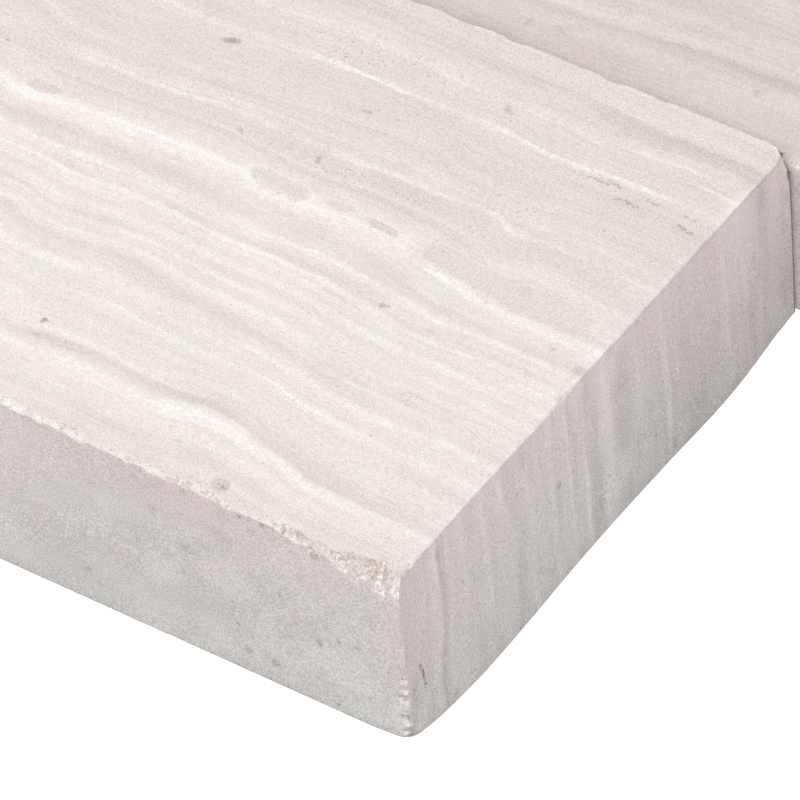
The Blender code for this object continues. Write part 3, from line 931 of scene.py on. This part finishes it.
def stone_material(name, ground, seed, size, patch, beds, marks, guided=False, joint_shade_and_dirt_tones=0.0,
                   sawn_shift=SAWN_SHIFT):
    """Bedded marble for a patch of a strip. Guided beds follow the top strip's guides."""
    material = bpy.data.materials.new(name)
    material.use_nodes = True
    tree = material.node_tree
    shader = tree.nodes["Principled BSDF"]

    def shown(kind):
        return [mark for mark in marks.get(kind, ()) if near_patch(*mark[:3], patch, size)]

    place = add_node(tree, "TexCoord").outputs["Object"]
    spot = vector_math("MULTIPLY", place, (1 / MM, 1 / MM, 1 / MM))
    x, y, z = (Wire(socket) for socket in add_node(tree, "SeparateXYZ", {0: spot}).outputs)
    offset = tuple(seed * step for step in SEED_OFFSET)
    sawn = z.ramp(*SAWN_DEPTH)

    # Where each point lies in the beds
    slow = grainy(spot, SLOW_WAVES, offset, 2.0)
    if guided:
        bed = guided_bed(x, y) + slow * x.ramp(*PAST_GUIDES) * SLOW_WAVE_HEIGHT
        bed = bed + grainy(spot, DEEP_WAVES, offset) * sawn
        bed = bed + z.ramp(*END_BACK) * y.ramp(*END_NEAR_SIDE) * x.ramp(*END_REACH)
    else:
        bed = y + slow * SLOW_WAVE_HEIGHT
    bed = bed + grainy(spot, WAVES, offset) * WAVE_HEIGHT
    bed = bed + grainy(spot, RIPPLES, offset, 2.0) * RIPPLE_HEIGHT
    laid = vector(x, bed, z)
    grain = grainy(spot, GRAINS, offset)
    coarse_grain = grainy(spot, COARSE_GRAINS, offset)
    ragged = coarse_grain * RAGGEDNESS
    # The marks move a little with the fine streaks. This also has the renderer work out each mark
    # only when it's added, as it can't hold all of them at once.
    streak = grainy(laid, STREAKS, offset)
    marked = vector(x, bed + streak * STREAK_SHAKE, z)
    shake = vector(coarse_grain, grain + streak * STREAK_SHAKE, coarse_grain)
    shaken_spot = vector_math("MULTIPLY_ADD", shake, SHAKE, spot)
    shaken_laid = vector_math("MULTIPLY_ADD", shake, SHAKE, marked)

    # Beds, and fine streaks along them
    swing = grainy(laid, SWINGS, offset).ramp(*SWING_RANGE)
    froth = coarse_grain.ramp(*FROTH_RANGE)
    tone = bed_tones(bed, beds) * swing * froth
    tone = tone + grainy(laid, VEINS, offset, 2.0) * VEIN_TONES
    tone = tone + streak * STREAK_TONES
    tone = tone + grainy(laid, BANDS, offset) * (GUIDED_BAND_TONES if guided else BAND_TONES)
    tone = tone + grainy(spot, CLOUDS, offset, 2.0) * CLOUD_TONES
    if guided:
        # Painted shade: the face darker towards its lower side
        tone = tone + bed.ramp(*FAR_BED_SHADE)
    tone = add_lenses(tone, marked, ragged, shown("lenses"))
    tone = add_marks(tone, marked, shown("shades"), PALE_FADE)

    # Sawn faces darkened with depth by painted shade, painted shade and dirt along the middle strip's
    # upper edge, painted shadow in the joint, and spots
    end = x.ramp(*END_START) * y.ramp(*END_SIDE) * sawn
    far = y.ramp(*FAR_HALF)
    tone = tone * (sawn.blend(*BED_CONTRAST) - end * far.line(*END_CONTRAST_LOSS))
    # Painted shade on the middle strip's face beside the joint, where the top strip stands proud of it,
    # and dirt right in the gap
    joint_shade_and_dirt = y.ramp(*JOINT_SHADE_WIDE) + y.ramp(*JOINT_SHADE_AND_DIRT_NARROW)
    tone = tone - joint_shade_and_dirt * sawn.blend(joint_shade_and_dirt_tones, 0.0)
    if guided:
        # Painted shade: the sawn faces grow darker with depth, the end most of all on its far half
        tone = tone + sawn * z.line(*SAWN_DEPTH_SHADE)
        tone = tone + end * (z.line(*END_DEPTH_SHADE) + far * z.line(*FAR_END_DEPTH_SHADE))
        # Painted shadow in the joint on the lower side
        tone = tone - y.ramp(*JOINT_SHADOW_TONES) * z.ramp(*JOINT_SHADOW_DEPTH)
    tone = add_marks(tone, shaken_laid, shown("bed_spots"), SPOT_FADE)
    tone = add_marks(tone, shaken_spot, shown("spots"), SPOT_FADE)

    # Dark flecks, a darker back edge, and the sugary grain
    crowding = grainy(spot, CROWDS, offset).ramp(*CROWDING_RANGE)
    crowding = add_marks(crowding, marked, shown("flecks"), FLECK_FADE)
    bruise = Wire(add_node(tree, "Attribute", attribute_name="bruise").outputs["Fac"])
    worn_edge = bruise * x.ramp(*WORN_LENGTH)
    worn_tip = worn_edge * z.ramp(*WORN_DEPTH)
    crowding = crowding + bruise * BRUISE_CROWDING
    crowding = crowding + (worn_tip * WORN_TIP_CROWDING if guided else 0.0)
    pits = (grainy(spot, PITS, offset) + crowding).ramp(*PIT_RANGE)
    tone = tone - pits * PIT_TONES
    tone = tone - z.ramp(*(edge - size[Z] for edge in BACK_EDGE)) * BACK_EDGE_TONES
    tone = tone + bruise * BRUISE_TONES + grain * sawn.blend(*GRAIN_TONES)
    tone = tone + coarse_grain * COARSE_GRAIN_TONES
    # Painted shade darkens the broken stone near the tip, for the shadows among its crumbs
    if guided:
        tone = tone - worn_edge * WORN_EDGE_SHADE_TONES + worn_tip * z.ramp(*WORN_TIP_TONES)

    # Colour
    gain = shifted((1.0, 1.0, 1.0), tone, TONE_STEP)
    hue = grainy(spot, HUES, offset, 2.0) * sawn.blend(*HUE_AMOUNT)
    hue = hue + grainy(spot, SAWN_HUES, offset) * sawn * SAWN_HUE_AMOUNT
    tinted = shifted(ground, hue, HUE_SHIFT)
    tinted = shifted(tinted, sawn, sawn_shift)
    tinted = shifted(tinted, bruise, BROKEN_SHIFT)
    if guided:
        pink = end * (far * FAR_PINK + y.ramp(*PINK_NEAR_SIDE))
        pink = pink + sawn * z.ramp(*PINK_DEPTH) * SAWN_PINK - worn_tip * WORN_TIP_PINK
        pink = add_marks(pink, spot, shown("greys"), SPOT_FADE)
        tinted = shifted(tinted, pink, PINK_SHIFT)
        tinted = shifted(tinted, sawn * (z + MIDDLE_DEPTH), DEPTH_SHIFT)
    colour = vector_math("MULTIPLY", tinted, gain)
    # Rust stains, and brown painted shade in the middle strip's nook
    for middle, radii, half, strength in shown("rust_and_nook_shade"):
        away = distance_to(spot, middle, radii, half) + ragged
        mix = add_node(tree, "Mix", data_type="RGBA")
        plug(away.ramp(*RUST_AND_SHADE_FADE, 0.0, strength), mix.inputs[0])
        plug(colour, mix.inputs[6])
        plug(RUST_AND_SHADE_COLOUR, mix.inputs[7])
        colour = mix.outputs[2]
    plug(colour, shader.inputs["Base Color"])
    shader.inputs["Roughness"].default_value = STONE_ROUGHNESS
    bump_inputs = {"Strength": BUMP_STRENGTH, "Distance": BUMP_DISTANCE, "Height": grain}
    bump = add_node(tree, "Bump", bump_inputs)
    plug(bump.outputs[0], shader.inputs["Normal"])
    return material


def random_beds(seed, width):
    """Beds for a strip that the photograph doesn't show."""
    draw = random.Random(seed)
    beds = []
    place = draw.uniform(0.3, 1.0)
    dark = draw.random() < 0.5
    while place < width:
        half = draw.uniform(0.3, 0.7) + (0.5 if dark else 0.1) * draw.random()
        strength = 3.0 + 6.0 * draw.random() ** 2
        beds.append((place, half, -strength if dark else strength))
        place += half * draw.uniform(1.6, 2.6)
        dark = not dark
    return tuple(beds)


# Spots on the sawn faces show this share of their tone
SAWN_SPOT_SHARE = 0.8


def bed_marks(table, depth, share=1.0):
    """Marks on the face, from rows of place along, place in the beds, two radii and strength."""
    return [((at, bed, 0.0), (wide, tall, depth), 0.0, strength * share)
            for at, bed, wide, tall, strength in table]


def end_marks(table, share=1.0):
    """Marks on the sawn end, from rows of place across, depth, two radii and strength."""
    return [((0.0, at, -deep), (END_SPOT_DEPTH, wide, tall), 0.0, strength * share)
            for at, deep, wide, tall, strength in table]


def side_marks(table, share):
    """Marks on the upper side, from rows of place along, depth, two radii and strength."""
    return [((at, 0.0, -deep), (wide, SIDE_SPOT_DEPTH, tall), 0.0, strength * share)
            for at, deep, wide, tall, strength in table]


def rust_and_shade_marks(table):
    return [((at, across, depth), (radius, radius, radius), 0.0, strength)
            for at, across, depth, radius, strength in table]


TOP_MARKS = {
    "lenses": [((at, bed, 0.0), (wide, tall, LENS_DEPTH), half, (core, rim))
               for at, bed, half, wide, tall, core, rim in TOP_LENSES],
    "shades": [((at, bed, 0.0), (wide, tall, LENS_DEPTH), half, tone)
               for at, bed, half, wide, tall, tone in TOP_SHADES],
    "bed_spots": bed_marks(TOP_SPOTS, SPOT_DEPTH),
    "spots": side_marks(TOP_SIDE_SPOTS_AND_SHADES, SAWN_SPOT_SHARE) + end_marks(TOP_END_SPOTS_AND_SHADES, SAWN_SPOT_SHARE),
    "greys": end_marks(TOP_GREYS),
    "flecks": bed_marks(TOP_FLECKS, FLECK_DEPTH, FLECK_CROWDING),
    "rust_and_nook_shade": rust_and_shade_marks(TOP_RUST),
}
SECOND_MARKS = {
    "bed_spots": bed_marks(SECOND_SPOTS, SPOT_DEPTH),
    "spots": [((at, across, -deep), (wide, tall, thin), 0.0, tone)
              for at, across, deep, wide, tall, thin, tone in SECOND_NOOK_SHADE_SPOTS],
    "rust_and_nook_shade": rust_and_shade_marks(SECOND_NOOK_BROWN_SHADE),
}


# Strips


def build_strip(node, seed):
    zero, size = strip_place(node)
    name = node + "_stone"
    patches, steps, own = PLAIN_PATCHES, PLAIN_STEPS, ()
    ground = SECOND_GROUND if "middle" in node else TOP_GROUND
    if node == TOP_STRIP:
        patches, steps, own = TOP_PATCHES, TOP_STEPS, TOP_ARRISES
        look = {"beds": TOP_BEDS, "marks": TOP_MARKS, "guided": True}
    elif node == SECOND_STRIP:
        own = SECOND_ARRISES
        look = {"beds": SECOND_BEDS, "marks": SECOND_MARKS, "joint_shade_and_dirt_tones": JOINT_SHADE_AND_DIRT_TONES,
                "sawn_shift": SECOND_SAWN_SHIFT}
    else:
        look = {"beds": random_beds(seed, size[Y]), "marks": {}}
    mesh = strip_mesh(node, size, steps, strip_arrises(size, seed, own), seed, patches)
    for patch in patches:
        mesh.materials.append(stone_material(name, ground, seed, size, patch, **look))
    piece = add_object(name, mesh)
    piece.matrix_world = Matrix.Translation(zero) @ strip_axes(node).to_4x4()
    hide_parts(node)
    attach(piece, "root")


# Stage


def top_place(place):
    zero, _ = strip_place(TOP_STRIP)
    return zero + LONG_LEG_AXES @ place * MM


def add_camera():
    right = LONG_LEG_AXES @ CAMERA_RIGHT
    up = -(LONG_LEG_AXES @ CAMERA_DOWN)
    back = right.cross(up)
    data = bpy.data.cameras.new("camera")
    data.lens = CAMERA_LENS
    data.sensor_width = CAMERA_SENSOR
    data.clip_start, data.clip_end = CAMERA_LIMITS
    camera = add_object("camera", data)
    turn = Matrix((right, up, back)).transposed()
    camera.matrix_world = Matrix.Translation(top_place(CAMERA_PLACE)) @ turn.to_4x4()
    bpy.context.scene.camera = camera


def seen_straight(tree):
    """1 for what the camera sees straight, in a gloss or through glass."""
    rays = [Wire(add_node(tree, "LightPath").outputs[f"Is {kind} Ray"])
            for kind in ("Camera", "Glossy", "Transmission")]
    return rays[0].math("MAXIMUM", rays[1]).math("MAXIMUM", rays[2])


def add_world():
    world = bpy.data.worlds.new("studio")
    bpy.context.scene.world = world
    world.use_nodes = True
    tree = world.node_tree
    background = tree.nodes["Background"]
    background.inputs["Color"].default_value = WHITE
    strength = seen_straight(tree).ramp(0.0, 1.0, SKY_STRENGTH, 1.0, smooth=False)
    plug(strength, background.inputs["Strength"])


def add_floor():
    mesh = bpy.data.meshes.new("floor")
    corners = [(-1, -1), (1, -1), (1, 1), (-1, 1)]
    mesh.from_pydata([(x * FLOOR_REACH, y * FLOOR_REACH, 0) for x, y in corners], [], [(0, 1, 2, 3)])
    floor = add_object("floor", mesh)
    material = bpy.data.materials.new("floor")
    material.use_nodes = True
    shader = material.node_tree.nodes["Principled BSDF"]
    shader.inputs["Base Color"].default_value = FLOOR_COLOUR
    shader.inputs["Roughness"].default_value = 1.0
    shader.inputs["Specular IOR Level"].default_value = 0.0
    shader.inputs["Emission Color"].default_value = WHITE
    plug(seen_straight(material.node_tree) * FLOOR_GLOW, shader.inputs["Emission Strength"])
    mesh.materials.append(material)


def add_key():
    data = bpy.data.lights.new("key", "SUN")
    data.energy = KEY_STRENGTH
    data.angle = math.radians(KEY_ANGLE)
    key = add_object("key", data)
    key.rotation_mode = "QUATERNION"
    key.rotation_quaternion = KEY_AIM.to_track_quat("-Z", "Y")


for seed, node in enumerate(sorted(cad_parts), 1):
    build_strip(node, seed)
add_camera()
add_world()
add_floor()
add_key()
bpy.context.scene.view_settings.view_transform = "Standard"
